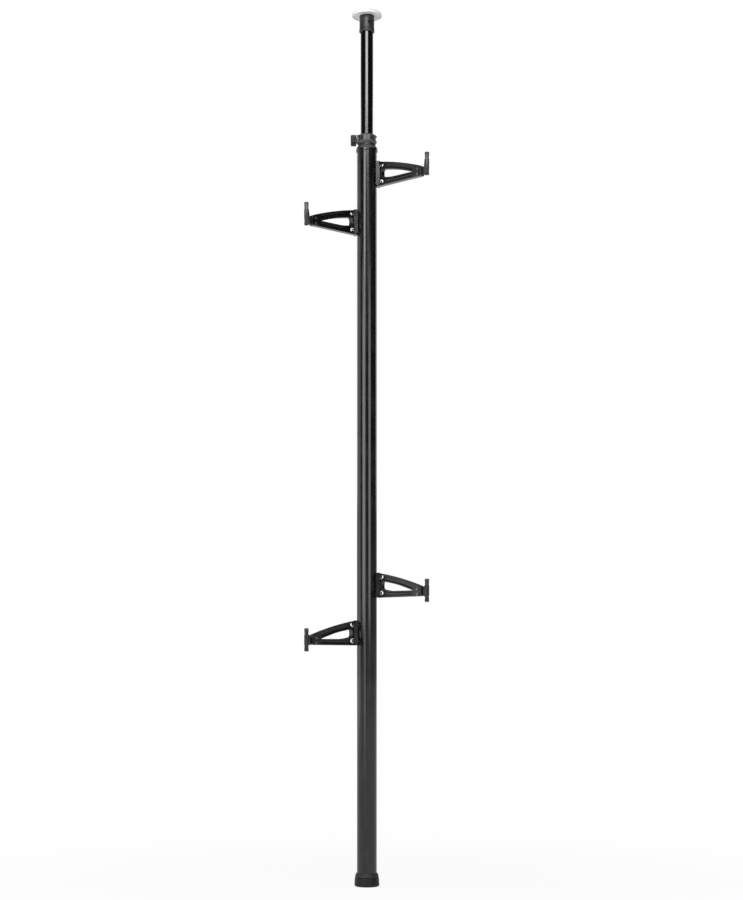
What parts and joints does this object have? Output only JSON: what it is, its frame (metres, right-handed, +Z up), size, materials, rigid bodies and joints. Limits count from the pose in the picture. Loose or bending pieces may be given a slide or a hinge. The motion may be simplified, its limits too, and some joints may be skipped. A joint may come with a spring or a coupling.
{
  "type": "bike storage tower",
  "caption": "Floor-to-ceiling column with a telescoping mast, spring ceiling cap and sliding truss arms whose cradles hold bikes by the top tube.",
  "frame": {"origin": "centre of the foot where it rests on the floor", "axes": "+Z up along the column, the arms reach forward to -Y and out to +X and -X"},
  "size_m": [0.337, 0.2385, 2.438],
  "materials": {
    "black_tube": "gloss black coated extrusion",
    "black_casting": "satin black coated casting",
    "dark_plastic": "fine moulded grain",
    "black_plastic": "semi-gloss",
    "dark_rubber": "matte",
    "pale_plastic": "satin",
    "pale_rubber": "matte",
    "zinc_steel": "bright zinc plated",
    "spring_steel": "black oxide",
    "brass": "machined"
  },
  "bodies": {
    "column": {"foot_boot": "dark_rubber", "foot_socket": "dark_plastic", "outer_column": "black_tube", "column_cap": "black_plastic", "clamp_collar": "dark_plastic", "clamp_insert": "brass", "clamp_shoe": "pale_plastic"},
    "mast": {"mast_tube": "black_tube", "mast_guide": "dark_plastic", "spring_seat": "dark_plastic", "tension_spring": "spring_steel"},
    "ceiling_cap": {"ceiling_stem": "dark_plastic", "ceiling_cup": "black_plastic", "cup_screw": "zinc_steel", "ceiling_plate": "pale_plastic", "plate_screw": "zinc_steel", "ceiling_pad": "pale_rubber"},
    "knob": {"clamp_stud": "zinc_steel", "clamp_knob": "black_plastic"},
    "arm_upper_left": {"arm_upper_left": "black_casting", "slot_bar_upper_left": "zinc_steel", "root_bolt_low_upper_left": "zinc_steel", "root_bolt_high_upper_left": "zinc_steel", "cradle_upper_left": "dark_plastic", "cradle_grip_upper_left": "dark_rubber", "cradle_screw_low_upper_left": "spring_steel", "cradle_screw_high_upper_left": "spring_steel"},
    "arm_upper_right": {"arm_upper_right": "black_casting", "slot_bar_upper_right": "zinc_steel", "root_bolt_low_upper_right": "zinc_steel", "root_bolt_high_upper_right": "zinc_steel", "cradle_upper_right": "dark_plastic", "cradle_grip_upper_right": "dark_rubber", "cradle_screw_low_upper_right": "spring_steel", "cradle_screw_high_upper_right": "spring_steel"},
    "arm_lower_left": {"arm_lower_left": "black_casting", "slot_bar_lower_left": "zinc_steel", "root_bolt_low_lower_left": "zinc_steel", "root_bolt_high_lower_left": "zinc_steel", "cradle_lower_left": "dark_plastic", "cradle_grip_lower_left": "dark_rubber", "cradle_screw_low_lower_left": "spring_steel", "cradle_screw_high_lower_left": "spring_steel"},
    "arm_lower_right": {"arm_lower_right": "black_casting", "slot_bar_lower_right": "zinc_steel", "root_bolt_low_lower_right": "zinc_steel", "root_bolt_high_lower_right": "zinc_steel", "cradle_lower_right": "dark_plastic", "cradle_grip_lower_right": "dark_rubber", "cradle_screw_low_lower_right": "spring_steel", "cradle_screw_high_lower_right": "spring_steel"}
  },
  "joints": [
    {"name": "mast_slide", "type": "slide", "parent": "column", "child": "mast", "axis": [0, 0, 1], "range_m": [-0.264, 0.61]},
    {"name": "ceiling_spring", "type": "slide", "parent": "mast", "child": "ceiling_cap", "axis": [0, 0, 1], "range_m": [-0.012, 0], "stiffness_N_per_m": 6000, "springref_m": 0.02, "deforming": ["tension_spring"]},
    {"name": "knob_turn", "type": "hinge", "parent": "column", "child": "knob", "pos_m": [-0.037, 0, 2.0836], "axis": [-1, 0, 0], "range_deg": [0, 360]},
    {"name": "arm_upper_left_slide", "type": "slide", "parent": "column", "child": "arm_upper_left", "axis": [0, 0, 1], "range_m": [-0.405, 0.15]},
    {"name": "arm_upper_right_slide", "type": "slide", "parent": "column", "child": "arm_upper_right", "axis": [0, 0, 1], "range_m": [-0.54, 0.02]},
    {"name": "arm_lower_left_slide", "type": "slide", "parent": "column", "child": "arm_lower_left", "axis": [0, 0, 1], "range_m": [-0.61, 0.635]},
    {"name": "arm_lower_right_slide", "type": "slide", "parent": "column", "child": "arm_lower_right", "axis": [0, 0, 1], "range_m": [-0.74, 0.505]}
  ]
}
